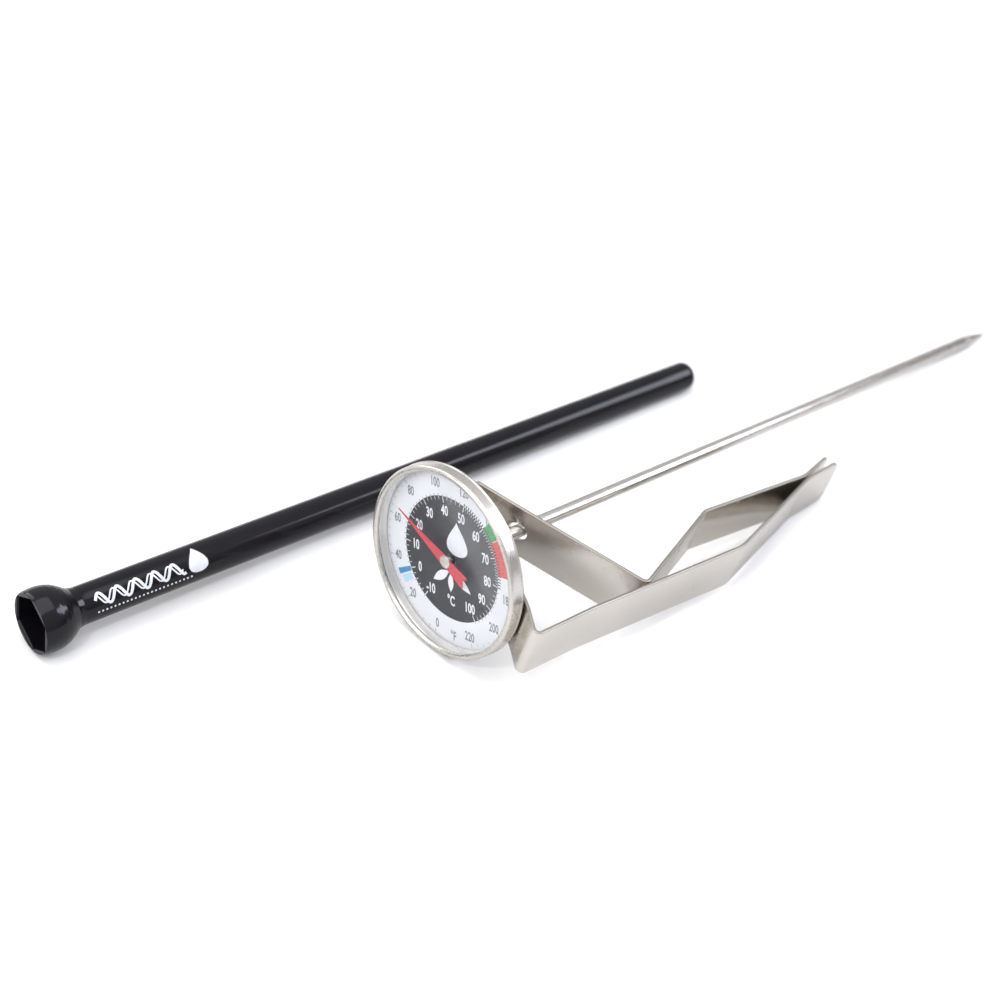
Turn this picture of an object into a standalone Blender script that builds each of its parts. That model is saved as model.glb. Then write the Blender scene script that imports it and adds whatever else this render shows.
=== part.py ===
"""Dial thermometer with a strip clip and a wrench sheath, lying as it rests on a table.

Frame: metres, +Z up from the table, +Y along the stem (level direction, dial
end towards -Y), origin at the middle of the whole set's footprint, on the table.

The thermometer is modelled in its own axes under the empty "thermometer":
local X across the dial, local Y along the stem (0 just in front of the bezel's
widest band), local Z up the dial.  The empty "stem_axis" turns local Z onto the
stem, so that every turned piece is a profile of (radius, distance along the stem).
There "front" is the dial side, the smaller z, and "back" is towards the stem's tip.
"""
import math

import bmesh
import bpy
from mathutils import Matrix, Vector

MM = 0.001

# ---- driving dimensions, millimetres and degrees ---------------------------
BEZEL_R = 22.0            # widest radius of the bezel
WINDOW_R = 20.6           # clear radius inside the bezel's lip
LENS_R = 21.4
DIAL_R = 20.7
DIAL_FACE = 2.43          # station of the dial's printed face
DIAL_THICK = 0.20
CASE_R = 21.42
CASE_BACK = 6.4           # where the flat back of the case lies
CASE_BORE_R = 3.1
CASE_WALL = 0.4

STEM_R = 1.5
STEM_BORE_R = 1.22
STEM_FRONT, STEM_END = 5.3, 179.0
TIP_END = 187.9
GUIDE_R = 1.12            # outer radius of what fits in the stem's bore
GUIDE_BORE_R = 0.52
GUIDE_LENGTH = 3.0
GUIDE_FRONTS = {"upper_bush": 5.6, "middle_guide": 70.0, "lower_bush": 128.0}

NUT_ACROSS_FLATS = 11.0
NUT_FRONT, NUT_BACK = 6.7, 8.8
NUT_BORE_R = 1.6
SPIGOT_R, SPIGOT_FRONT = 2.7, 5.0

SHAFT_R = 0.4
POINTER_ANGLE = 273.0     # clockwise from local +Z, seen from the front, at room temperature
POINTER_REACH = 16.6
POINTER_Z = 1.52          # station of the pointer's middle plane
POINTER_HALF_THICK = 0.11
POINTER_HOLE_R = 1.02
POINTER_HOLE_SIDES = 24
COIL_START, COIL_END = 136.4, 170.0
COIL_R, COIL_WIRE_R = 0.84, 0.18
COIL_TURNS, COIL_STEPS_PER_TURN = 12, 10

STRIP_WIDTH = 12.7
STRIP_THICK = 0.8
STRIP_CORNER = 2.4        # rounding of the strip's free corners
STEM_HOLE_R = 2.2
STEM_HOLE_SPAN = (5.0, 30.0)  # front and back of the cutters for the clip's holes
# Corners of the folded strip's middle line: (local X, local Y, bend radius).
# A free end's radius is not used.
APEX = (-13.0, 17.5, 1.3)
OUTER_ARM = [
    (21.8, 3.55, 18.0), (28.75, -0.45, 1.1), (28.5, 16.9, 25.0),
    (30.0, 63.2, 10.0), (21.1, 94.4, 12.0), (20.1, 106.4, 0.0),
]
INNER_ARM = [(28.4, 33.8, 1.4), (17.9, 62.5, 2.5), (20.0, 94.6, 6.0), (17.5, 105.4, 0.0)]
# Distances from the apex, along the inner arm, where the two modelled pieces meet at a gap.
OUTER_PIECE_START, INNER_PIECE_START = 4.0, 4.3

SHEATH_LENGTH = 183.5
SHEATH_BULB_R = 7.4
SHEATH_BORE_R = 2.1
SHEATH_BORE_END, SHEATH_BORE_POINT = 176.0, 178.0
SHEATH_TAIL_R = 3.45
SHEATH_DOME = SHEATH_TAIL_R * 0.8  # length of the rounded tail end
TAPER_START, TAPER_START_R = 20.0, 4.30
TAPER_LENGTH = SHEATH_LENGTH - 25.0
SOCKET_ACROSS_FLATS = 11.6
SOCKET_DEPTH = 5.0

# How the set lies on the table; places are measured from the point below the dial's centre.
REST_SLOPE = 6.600        # the stem falls this much from the dial to its tip
REST_ROLL = 11.156        # turn about the stem until the clip's edge touches down
DIAL_CENTRE = (0.0, 0.0, 22.125)
SHEATH_MOUTH = (-50.44, -71.50, 7.51)
SHEATH_HEADING = 6.066    # degrees from +Y towards +X
SHEATH_SLOPE = 1.29       # its tail is lower than its bulb
FOOTPRINT_CENTRE = (-13.271, 57.204)

# Steps round the turned pieces.
SEGMENTS = 48
HEAD_SEGMENTS = 64
STEM_SEGMENTS = 24
SHAFT_SEGMENTS = 16
SHEATH_SEGMENTS = 40
STEM_HOLE_SIDES = 40

# ---- scene ----------------------------------------------------------------
for old in list(bpy.data.objects):
    bpy.data.objects.remove(old, do_unlink=True)

parts = bpy.data.collections.new("dial_thermometer")
cutters = bpy.data.collections.new("dial_thermometer_cutters")
bpy.context.scene.collection.children.link(parts)
bpy.context.scene.collection.children.link(cutters)
cutters.hide_render = True


# ---- helpers ----------------------------------------------------------------
def material(name, colour, roughness, metallic=0.0, alpha=1.0):
    made = bpy.data.materials.new(name)
    made.use_nodes = True
    shader = made.node_tree.nodes["Principled BSDF"]
    shader.inputs["Base Color"].default_value = (*colour, 1.0)
    shader.inputs["Roughness"].default_value = roughness
    shader.inputs["Metallic"].default_value = metallic
    shader.inputs["Alpha"].default_value = alpha
    made.diffuse_color = (*colour, alpha)
    return made


def empty(name, parent=None, location=(0, 0, 0), rotation=(0, 0, 0)):
    """An empty placed in millimetres and degrees."""
    made = bpy.data.objects.new(name, None)
    made.empty_display_size = 0.01
    made.location = [v * MM for v in location]
    made.rotation_euler = [math.radians(v) for v in rotation]
    made.parent = parent
    parts.objects.link(made)
    return made


def add(name, data, parent, mat=None, collection=parts):
    made = bpy.data.objects.new(name, data)
    made.parent = parent
    if mat is not None:
        data.materials.append(mat)
    collection.objects.link(made)
    return made


def turned(name, profile, parent, mat, segments=SEGMENTS):
    """A piece of revolution about local Z, from (radius, z) points.

    The profile starts at the back and runs forward along the outer side. One that
    starts on the axis also ends there and is left open; any other is closed.
    """
    mesh = bpy.data.meshes.new(name)
    points = [(r * MM, 0.0, z * MM) for r, z in profile]
    edges = [(i, i + 1) for i in range(len(points) - 1)]
    if profile[0][0] > 0:
        edges.append((len(points) - 1, 0))
    mesh.from_pydata(points, edges, [])
    made = add(name, mesh, parent, mat)
    screw = made.modifiers.new("turn", "SCREW")
    screw.axis = "Z"
    screw.steps = screw.render_steps = segments
    screw.use_merge_vertices = True
    screw.merge_threshold = 1e-6
    screw.use_smooth_shade = True
    return made


def tube(name, r_out, r_in, front, back, mat, segments=SEGMENTS):
    """A plain ring or tube on the stem axis."""
    profile = [(r_out, back), (r_out, front), (r_in, front), (r_in, back)]
    turned(name, profile, stem_axis, mat, segments)


def rod(name, radius, front, back, parent, mat, segments):
    """A plain solid disc or rod."""
    profile = [(0.0, back), (radius, back), (radius, front), (0.0, front)]
    turned(name, profile, parent, mat, segments)


def hexagon_radius(across_flats):
    return across_flats / 2 / math.cos(math.pi / 6)


def cutter_prism(name, radius, front, back, parent, sides):
    mesh = bpy.data.meshes.new(name)
    bm = bmesh.new()
    bmesh.ops.create_cone(bm, cap_ends=True, segments=sides, radius1=radius * MM,
                          radius2=radius * MM, depth=(back - front) * MM)
    bmesh.ops.translate(bm, verts=bm.verts, vec=(0, 0, (back + front) / 2 * MM))
    bm.to_mesh(mesh)
    bm.free()
    made = add(name, mesh, parent, collection=cutters)
    made.hide_render = True
    made.display_type = "WIRE"
    return made


def boolean(target, cutter, operation="DIFFERENCE"):
    cut = target.modifiers.new(operation.lower() + "_" + cutter.name, "BOOLEAN")
    cut.object = cutter
    cut.operation = operation
    cut.solver = "EXACT"


def poly_spline(curve, points):
    """Adds a straight-sided spline through (x, y, z) points in mm."""
    spline = curve.splines.new("POLY")
    spline.points.add(len(points) - 1)
    for point, (x, y, z) in zip(spline.points, points):
        point.co = (x * MM, y * MM, z * MM, 1.0)
    return spline


# ---- materials --------------------------------------------------------------
steel_polished = material("steel_polished", (0.62, 0.60, 0.57), roughness=0.18, metallic=1.0)
steel_strip = material("steel_strip", (0.55, 0.52, 0.49), roughness=0.30, metallic=1.0)
steel_stem = material("steel_stem", (0.60, 0.59, 0.57), roughness=0.22, metallic=1.0)
clear_lens = material("clear_lens", (0.95, 0.96, 0.97), roughness=0.02, alpha=0.25)
white_gasket = material("white_gasket", (0.80, 0.80, 0.80), roughness=0.50)
dial_white = material("dial_white", (0.88, 0.89, 0.91), roughness=0.40)
pointer_red = material("pointer_red", (0.62, 0.04, 0.06), roughness=0.35)
brass = material("brass", (0.72, 0.55, 0.28), roughness=0.30, metallic=1.0)
bimetal = material("bimetal", (0.45, 0.40, 0.34), roughness=0.35, metallic=1.0)
ptfe = material("ptfe", (0.85, 0.85, 0.82), roughness=0.55)
black_plastic = material("black_plastic", (0.02, 0.02, 0.022), roughness=0.25)

# ---- frame ------------------------------------------------------------------
footprint = empty("set", location=(-FOOTPRINT_CENTRE[0], -FOOTPRINT_CENTRE[1], 0.0))
slope = empty("thermometer_slope", footprint, DIAL_CENTRE, (-REST_SLOPE, 0, 0))
body = empty("thermometer", slope, rotation=(0, REST_ROLL, 0))
stem_axis = empty("stem_axis", body, rotation=(-90, 0, 0))
pointer_axis = empty("pointer_axis", stem_axis, rotation=(0, 0, POINTER_ANGLE - 90.0))

# ---- the head: bezel, lens, dial and case -------------------------------------
# All profiles below are (radius, z).
bezel_outer = [
    (21.72, 2.20), (21.72, 2.66), (21.90, 2.62), (BEZEL_R, 2.35), (BEZEL_R, 1.20),
    (BEZEL_R, 0.20), (21.97, -0.25), (21.88, -0.52), (21.70, -0.70), (21.40, -0.78),
    (21.10, -0.77), (20.85, -0.66), (20.67, -0.50), (WINDOW_R, -0.34),
]
bezel_inner = [(20.68, -0.28), (21.55, -0.30), (21.72, -0.05), (21.72, 1.00)]
turned("bezel", bezel_outer + bezel_inner, stem_axis, steel_polished, HEAD_SEGMENTS)

rod("lens", radius=LENS_R, front=0.02, back=0.40,
    parent=stem_axis, mat=clear_lens, segments=HEAD_SEGMENTS)
tube("lens_gasket", r_out=21.4, r_in=20.7, front=0.62, back=1.22, mat=white_gasket)
tube("dial_plate", r_out=DIAL_R, r_in=1.2, front=DIAL_FACE, back=DIAL_FACE + DIAL_THICK,
     mat=dial_white, segments=HEAD_SEGMENTS)

support_profile = [
    (15.9, 4.00), (15.9, 3.18), (18.2, 3.18), (18.2, 2.93), (15.5, 2.93), (15.5, 4.00),
]
turned("dial_support_ring", support_profile, stem_axis, brass)

case_inner_r = CASE_R - CASE_WALL
case_outer = [
    (CASE_BORE_R, CASE_BACK), (10.4, CASE_BACK), (11.4, 6.20), (19.3, 3.72),
    (20.6, 3.28), (21.25, 2.85), (CASE_R, 2.45), (CASE_R, 1.45),
]
case_inner = [
    (case_inner_r, 1.45), (case_inner_r, 2.40), (20.88, 2.66), (20.40, 2.95), (19.2, 3.33),
    (11.3, 5.82), (10.3, CASE_BACK - CASE_WALL), (CASE_BORE_R, CASE_BACK - CASE_WALL),
]
turned("case_back", case_outer + case_inner, stem_axis, steel_polished, HEAD_SEGMENTS)

# ---- the calibration nut and what holds the case on it --------------------------
# Turned with its rims bevelled, then cut to a hexagon.
nut_r = hexagon_radius(NUT_ACROSS_FLATS)
nut_profile = [
    (NUT_BORE_R, NUT_BACK), (nut_r - 0.7, NUT_BACK), (nut_r, NUT_BACK - 0.35),
    (nut_r, NUT_FRONT + 0.30), (nut_r - 0.6, NUT_FRONT), (SPIGOT_R, NUT_FRONT),
    (SPIGOT_R, SPIGOT_FRONT), (NUT_BORE_R, SPIGOT_FRONT),
]
hex_nut = turned("hex_nut", nut_profile, stem_axis, steel_polished)
hexagon = cutter_prism("nut_hexagon", nut_r, SPIGOT_FRONT - 1, NUT_BACK + 1, stem_axis, sides=6)
boolean(hex_nut, hexagon, "INTERSECT")
tube("friction_washer", r_out=6.3, r_in=CASE_BORE_R, front=5.60, back=5.80, mat=brass)
tube("retaining_ring", r_out=4.4, r_in=2.82, front=5.15, back=5.42, mat=steel_polished)

# ---- the stem and what is fixed in its bore ---------------------------------------
tube("stem_tube", STEM_R, STEM_BORE_R, STEM_FRONT, STEM_END, steel_stem, STEM_SEGMENTS)

# The pointed tip, with a plug that reaches into the tube.
tip_shoulder, plug_front = STEM_END + 0.25, STEM_END - 2.5
tip_profile = [
    (0.0, TIP_END), (0.22, TIP_END - 0.25), (0.60, TIP_END - 2.4), (1.02, TIP_END - 5.0),
    (1.38, TIP_END - 7.3), (STEM_R, tip_shoulder), (GUIDE_R, tip_shoulder),
    (GUIDE_R, plug_front), (0.0, plug_front),
]
turned("stem_tip", tip_profile, stem_axis, steel_stem, STEM_SEGMENTS)

for guide, front in GUIDE_FRONTS.items():
    tube(guide, GUIDE_R, GUIDE_BORE_R, front, front + GUIDE_LENGTH, ptfe, STEM_SEGMENTS)
rod("coil_anchor", radius=GUIDE_R, front=170.5, back=173.4,
    parent=stem_axis, mat=brass, segments=STEM_SEGMENTS)

# The bimetal helix: a wound element, one end by the shaft's collar, the other by the anchor.
coil_curve = bpy.data.curves.new("bimetal_coil", "CURVE")
coil_curve.dimensions = "3D"
coil_curve.bevel_depth = COIL_WIRE_R * MM
coil_curve.bevel_resolution = 0
coil_curve.use_fill_caps = True
coil_steps = COIL_TURNS * COIL_STEPS_PER_TURN
coil_points = []
for i in range(coil_steps + 1):
    turn = 2 * math.pi * i / COIL_STEPS_PER_TURN
    z = COIL_START + (COIL_END - COIL_START) * i / coil_steps
    coil_points.append((COIL_R * math.cos(turn), COIL_R * math.sin(turn), z))
poly_spline(coil_curve, coil_points)
add("bimetal_coil", coil_curve, stem_axis, bimetal)

# ---- what turns with the temperature ---------------------------------------------
rod("pointer_shaft", radius=SHAFT_R, front=1.20, back=134.4,
    parent=pointer_axis, mat=steel_stem, segments=SHAFT_SEGMENTS)

collar_profile = [
    (0.0, 135.9), (0.92, 135.9), (0.92, 132.4), (0.52, 132.4), (0.52, 134.7), (0.0, 134.7),
]
turned("coil_collar", collar_profile, pointer_axis, brass, STEM_SEGMENTS)

hub_profile = [
    (0.0, 1.05), (0.52, 1.05), (0.52, 1.95), (0.85, 1.95), (0.85, 1.25),
    (1.55, 1.25), (1.55, 1.02), (1.35, 0.80), (0.9, 0.70), (0.0, 0.66),
]
turned("pointer_hub", hub_profile, pointer_axis, steel_polished, STEM_SEGMENTS)

# The pointer: a flat plate along local X with a notched tail and a round hole.
pointer_curve = bpy.data.curves.new("pointer", "CURVE")
pointer_curve.dimensions = "2D"
pointer_curve.fill_mode = "BOTH"
pointer_curve.extrude = POINTER_HALF_THICK * MM
# One edge from the point to the tail: (x along the pointer, y half width).
edge = [(POINTER_REACH, 0.14), (9.0, 0.52), (2.6, 1.15), (1.2, 1.55), (-1.4, 1.30), (-6.9, 1.85)]
tail_notch = (-6.2, 0.0)
hole_turns = [2 * math.pi * i / POINTER_HOLE_SIDES for i in range(POINTER_HOLE_SIDES)]
for outline in (
    edge + [tail_notch] + [(x, -y) for x, y in reversed(edge)],
    [(POINTER_HOLE_R * math.cos(t), POINTER_HOLE_R * math.sin(t)) for t in hole_turns],
):
    poly_spline(pointer_curve, [(x, y, 0.0) for x, y in outline]).use_cyclic_u = True
pointer = add("pointer", pointer_curve, pointer_axis, pointer_red)
pointer.location = (0, 0, POINTER_Z * MM)


# ---- the clip: a steel strip folded to a V that the stem passes through -------------
def rounded(corners):
    """Middle line through the (x, y, radius) corners, each bend replaced by its arc."""
    places = [Vector((x, y)) for x, y, _ in corners]
    line = [places[0]]
    for before, corner, after, (_, _, radius) in zip(places, places[1:], places[2:], corners[1:]):
        to_before = (before - corner).normalized()
        to_after = (after - corner).normalized()
        angle = to_before.angle(to_after)
        reach = radius / math.tan(angle / 2)
        middle = corner + (to_before + to_after).normalized() * (radius / math.sin(angle / 2))
        first = corner + to_before * reach - middle
        last = corner + to_after * reach - middle
        steps = max(2, round(math.degrees(math.pi - angle) / 15))
        turn = first.angle_signed(last)
        for k in range(steps + 1):
            line.append(middle + Matrix.Rotation(-turn * k / steps, 2) @ first)
    line.append(places[-1])
    return line


def with_end_stations(line):
    """Sets stations near the line's last point, for the free end's rounded corners."""
    end = line[-1]
    inward = (line[-2] - end).normalized()
    kept = list(line)
    while (kept[-1] - end).length < STRIP_CORNER:
        kept.pop()
    return kept + [
        end + inward * (STRIP_CORNER * (1 - math.cos(math.radians(angle))))
        for angle in (90, 75, 50, 25, 0)
    ]


def strip(name, line):
    """The strip as an open sheet across local Z, thickened evenly to both sides."""
    end = line[-1]
    mesh = bpy.data.meshes.new(name)
    bm = bmesh.new()
    rows = []
    for point in line:
        short = max(0.0, STRIP_CORNER - (point - end).length)
        bulge = math.sqrt(max(0.0, STRIP_CORNER ** 2 - short ** 2))
        half_width = STRIP_WIDTH / 2 - STRIP_CORNER + bulge
        rows.append([
            bm.verts.new((point.x * MM, point.y * MM, side * half_width * MM)) for side in (-1, 1)
        ])
    for (a, b), (c, d) in zip(rows, rows[1:]):
        bm.faces.new((a, b, d, c))
    bm.to_mesh(mesh)
    bm.free()
    made = add(name, mesh, body, steel_strip)
    thicken = made.modifiers.new("thickness", "SOLIDIFY")
    thicken.thickness = STRIP_THICK * MM
    thicken.offset = 0.0
    thicken.use_even_offset = True
    return made


apex = Vector(APEX[:2])
to_inner = (Vector(INNER_ARM[0][:2]) - apex).normalized()
outer_start = (*(apex + to_inner * OUTER_PIECE_START), 0.0)
inner_start = (*(apex + to_inner * INNER_PIECE_START), 0.0)
for arm, corners in (
    ("outer", [outer_start, APEX] + OUTER_ARM),
    ("inner", [inner_start] + INNER_ARM),
):
    clip_arm = strip(f"clip_{arm}_arm", with_end_stations(rounded(corners)))
    hole = cutter_prism(f"{arm}_stem_hole", STEM_HOLE_R, *STEM_HOLE_SPAN, stem_axis,
                        sides=STEM_HOLE_SIDES)
    boolean(clip_arm, hole)

# ---- the sheath: a moulded tube with a hexagon socket for the nut ---------------------
# Its z runs from the mouth, in the bulb's end, to the tail.
sheath_heading = empty("sheath_heading", footprint, SHEATH_MOUTH, (0, 0, -SHEATH_HEADING))
sheath_axis = empty("sheath_axis", sheath_heading, rotation=(-90 - SHEATH_SLOPE, 0, 0))


def taper_radius(z):
    """The tube's even taper from the neck to the tail."""
    return TAPER_START_R + (SHEATH_TAIL_R - TAPER_START_R) * (z - TAPER_START) / TAPER_LENGTH


tail = SHEATH_LENGTH - SHEATH_DOME
dome = [
    (SHEATH_TAIL_R * math.cos(angle), tail + SHEATH_DOME * math.sin(angle))
    for angle in map(math.radians, (75, 55, 35, 15))
]
taper = [(taper_radius(z), z) for z in (tail, 140.0, 100.0, 60.0, TAPER_START)]
bulb = [
    (4.35, 11.4), (4.46, 10.5), (4.78, 9.7), (5.36, 8.8), (6.12, 7.7), (6.78, 6.4),
    (7.22, 5.0), (SHEATH_BULB_R, 3.5), (7.38, 2.2), (7.24, 0.9), (7.10, 0.25), (6.92, 0.0),
]
bore = [(SHEATH_BORE_R, 0.0), (SHEATH_BORE_R, SHEATH_BORE_END), (0.0, SHEATH_BORE_POINT)]
sheath = turned("sheath", [(0.0, SHEATH_LENGTH)] + dome + taper + bulb + bore,
                sheath_axis, black_plastic, SHEATH_SEGMENTS)
socket = cutter_prism("socket_hexagon", hexagon_radius(SOCKET_ACROSS_FLATS),
                      -2.0, SOCKET_DEPTH, sheath_axis, sides=6)
boolean(sheath, socket)

# ---- shading: smooth, with edges sharper than this angle kept crisp --------------------
SHARP_ANGLE = 32.0
for made in parts.objects:
    if made.type == "MESH":
        made.data.shade_smooth()
        made.data.set_sharp_from_angle(angle=math.radians(SHARP_ANGLE))
bpy.context.view_layer.update()
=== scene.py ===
"""A dial thermometer with its folded strip clip and its sheath, lying on a white floor.

The dial faces -Y of the thermometer's own frame and the stem runs along +Y. The sheath lies
beside it in a frame of its own, its mouth at the origin and its tail along +Z. Shapes are in mm,
scaled by MM; the frames, the stage, the lights and the camera are in metres.
"""
import math

import bmesh
import bpy
from mathutils import Matrix, Vector


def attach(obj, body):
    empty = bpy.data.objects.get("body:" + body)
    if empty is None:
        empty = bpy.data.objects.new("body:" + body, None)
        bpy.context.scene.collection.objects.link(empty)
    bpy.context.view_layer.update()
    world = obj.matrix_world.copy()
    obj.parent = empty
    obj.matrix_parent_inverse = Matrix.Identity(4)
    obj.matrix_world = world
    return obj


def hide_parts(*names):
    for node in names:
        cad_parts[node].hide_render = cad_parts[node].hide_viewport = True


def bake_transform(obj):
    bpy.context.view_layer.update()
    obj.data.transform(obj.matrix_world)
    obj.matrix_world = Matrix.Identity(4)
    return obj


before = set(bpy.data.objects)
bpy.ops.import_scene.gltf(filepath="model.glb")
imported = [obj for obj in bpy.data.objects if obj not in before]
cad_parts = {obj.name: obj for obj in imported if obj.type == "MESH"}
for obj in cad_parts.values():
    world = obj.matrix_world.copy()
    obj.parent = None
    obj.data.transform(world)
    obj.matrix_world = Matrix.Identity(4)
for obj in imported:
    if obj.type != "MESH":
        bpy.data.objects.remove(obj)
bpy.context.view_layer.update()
MM = 0.001


def turn(degrees, axis):
    return Matrix.Rotation(math.radians(degrees), 4, axis)


# ---- frames the pieces are built in ---------------------------------------------------
THERMO = (Matrix.Translation((0.0132698, -0.0572041, 0.022125))
          @ turn(-6.600, "X") @ turn(11.156, "Y"))
STEM = THERMO @ turn(-90, "X")     # Z runs along the stem, away from the dial; 0 is the lens front
SHEATH = (Matrix.Translation((-0.0371702, -0.1287041, 0.00751))
          @ turn(-6.066, "Z") @ turn(-91.29, "X"))


def face(depth):
    """A plane parallel to the dial at this depth: X right, Y up, Z towards the reader."""
    return THERMO @ Matrix.Translation((0, depth * MM, 0)) @ turn(90, "X")


# ---- shader helpers -------------------------------------------------------------------
class Nodes:
    """Short ways to add nodes to the tree of a material or a world."""

    def __init__(self, owner):
        owner.use_nodes = True
        self.owner = owner
        self.tree = owner.node_tree

    def new(self, kind, **settings):
        node = self.tree.nodes.new(kind)
        for key, value in settings.items():
            setattr(node, key, value)
        return node

    def link(self, source, target):
        self.tree.links.new(source, target)

    def feed(self, socket, value):
        """Gives a socket a number, a colour or a link."""
        if isinstance(value, (int, float)):
            socket.default_value = value
        elif isinstance(value, tuple):
            socket.default_value = (*value, 1.0)
        else:
            self.link(value, socket)

    def noise(self, scale, detail, rough, stretch=(1, 1, 1)):
        """Noise in object space; a small stretch value draws it out along that axis."""
        where = self.new("ShaderNodeTexCoord")
        mapping = self.new("ShaderNodeMapping")
        mapping.inputs["Scale"].default_value = stretch
        self.link(where.outputs["Object"], mapping.inputs["Vector"])
        node = self.new("ShaderNodeTexNoise")
        node.inputs["Scale"].default_value = scale
        node.inputs["Detail"].default_value = detail
        node.inputs["Roughness"].default_value = rough
        self.link(mapping.outputs["Vector"], node.inputs["Vector"])
        return node.outputs["Fac"]

    def remap(self, value, span, to=(0.0, 1.0)):
        node = self.new("ShaderNodeMapRange")
        node.inputs["From Min"].default_value, node.inputs["From Max"].default_value = span
        node.inputs["To Min"].default_value, node.inputs["To Max"].default_value = to
        self.link(value, node.inputs["Value"])
        return node.outputs["Result"]

    def maths(self, operation, first, second):
        node = self.new("ShaderNodeMath", operation=operation)
        self.feed(node.inputs[0], first)
        self.feed(node.inputs[1], second)
        return node.outputs[0]

    def blend(self, factor, first, second):
        node = self.new("ShaderNodeMix", data_type="RGBA")
        for index, value in ((0, factor), (6, first), (7, second)):
            self.feed(node.inputs[index], value)
        return node.outputs[2]

    def principled(self, **values):
        for key, value in values.items():
            shader = self.tree.nodes["Principled BSDF"]
            self.feed(shader.inputs[key.replace("_", " ")], value)

    def bump(self, height, strength, distance):
        node = self.new("ShaderNodeBump")
        node.inputs["Strength"].default_value = strength
        node.inputs["Distance"].default_value = distance
        self.link(height, node.inputs["Height"])
        self.principled(Normal=node.outputs["Normal"])


def material_nodes(name):
    return Nodes(bpy.data.materials.new(name))


# ---- materials ------------------------------------------------------------------------
SPECK_COLOUR = (0.16, 0.12, 0.09)


def steel(name, base, dark, roughness, stretch, grain_scale, smudge, specks=0.0):
    """Stainless steel: fine grain along the working direction, hand marks and dark specks."""
    m = material_nodes(name)
    grain = m.noise(scale=grain_scale, detail=4.0, rough=0.6, stretch=stretch)
    marks = m.noise(scale=95.0, detail=4.0, rough=0.62)
    cloud = m.noise(scale=34.0, detail=2.0, rough=0.5)
    colour = m.blend(m.remap(cloud, span=(0.30, 0.70)), dark, base)
    bright = tuple(v * 1.10 for v in base)
    colour = m.blend(m.remap(grain, span=(0.35, 0.75), to=(0.0, 0.35)), colour, bright)
    if specks:
        spot = m.noise(scale=620.0, detail=2.0, rough=0.5)
        spot = m.remap(spot, span=(0.73, 0.78), to=(0.0, specks))
        colour = m.blend(spot, colour, SPECK_COLOUR)
    rough = m.maths(
        "ADD",
        m.remap(grain, span=(0.25, 0.75), to=(roughness * 0.85, roughness * 1.15)),
        m.remap(marks, span=(0.45, 0.75), to=(0.0, smudge)))
    m.principled(Base_Color=colour, Metallic=1.0, Roughness=rough)
    m.bump(grain, strength=0.10, distance=0.00004)
    return m.owner


def plain(name, base, other, roughness, scale, bump=0.05, distance=0.00005, metallic=0.0,
          coat=0.0):
    """Two close colours mottled together, with a fine grain in the gloss and the surface."""
    m = material_nodes(name)
    mottle = m.noise(scale=scale, detail=4.0, rough=0.55)
    fine = m.noise(scale=scale * 9, detail=2.0, rough=0.5)
    m.principled(
        Base_Color=m.blend(m.remap(mottle, span=(0.3, 0.7)), base, other),
        Metallic=metallic,
        Roughness=m.remap(fine, span=(0.3, 0.7), to=(roughness * 0.85, roughness * 1.15)),
        Coat_Weight=coat,
        Coat_Roughness=0.08)
    height = m.maths("ADD", mottle, m.maths("MULTIPLY", fine, 0.35))
    m.bump(height, strength=bump, distance=distance)
    return m.owner


def ink(name, base, other, roughness=0.40, bump=0.04):
    return plain(name, base, other, roughness, scale=900.0, bump=bump, distance=0.00002)


def moulded_black():
    """Glossy plastic: faint flow marks along its length, handling haze and fine scratches."""
    m = material_nodes("sheath_black_moulded")
    flow = m.noise(scale=420.0, detail=4.0, rough=0.6, stretch=(1.0, 1.0, 0.10))
    haze = m.noise(scale=60.0, detail=4.0, rough=0.6)
    fine = m.noise(scale=2600.0, detail=3.0, rough=0.6, stretch=(1.0, 1.0, 0.35))
    deep, hazed = (0.0042, 0.0036, 0.0056), (0.0068, 0.0060, 0.0086)
    colour = m.blend(m.remap(haze, span=(0.35, 0.70)), deep, hazed)
    rough = m.maths("ADD",
                    m.remap(haze, span=(0.35, 0.75), to=(0.085, 0.140)),
                    m.remap(fine, span=(0.40, 0.80), to=(0.0, 0.03)))
    m.principled(Base_Color=colour, Roughness=rough, Specular_IOR_Level=0.26)
    flow_share, fine_share = 0.6, 0.15
    height = m.maths("ADD", m.maths("MULTIPLY", flow, flow_share),
                     m.maths("MULTIPLY", fine, fine_share))
    m.bump(height, strength=0.05, distance=0.00006)
    return m.owner


def clear_glass():
    """Thin clear glass with a light, smeared reflection that grows at a grazing look."""
    m = material_nodes("lens_clear_glass")
    m.tree.nodes.remove(m.tree.nodes["Principled BSDF"])
    clear = m.new("ShaderNodeBsdfTransparent")
    clear.inputs["Color"].default_value = (0.992, 0.994, 0.996, 1.0)
    gloss = m.new("ShaderNodeBsdfGlossy")
    smear = m.noise(scale=120.0, detail=4.0, rough=0.6)
    m.link(m.remap(smear, span=(0.35, 0.75), to=(0.015, 0.085)), gloss.inputs["Roughness"])
    layer = m.new("ShaderNodeLayerWeight")
    layer.inputs["Blend"].default_value = 0.18
    reflection = 0.20              # how much of the weighted gloss is let through
    weight = m.maths("ADD", layer.outputs["Fresnel"],
                     m.remap(smear, span=(0.4, 0.8), to=(0.0, 0.012)))
    share = m.maths("MULTIPLY", weight, reflection)
    mix = m.new("ShaderNodeMixShader")
    m.link(share, mix.inputs["Fac"])
    m.link(clear.outputs[0], mix.inputs[1])
    m.link(gloss.outputs[0], mix.inputs[2])
    m.link(mix.outputs[0], m.tree.nodes["Material Output"].inputs["Surface"])
    return m.owner


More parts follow.
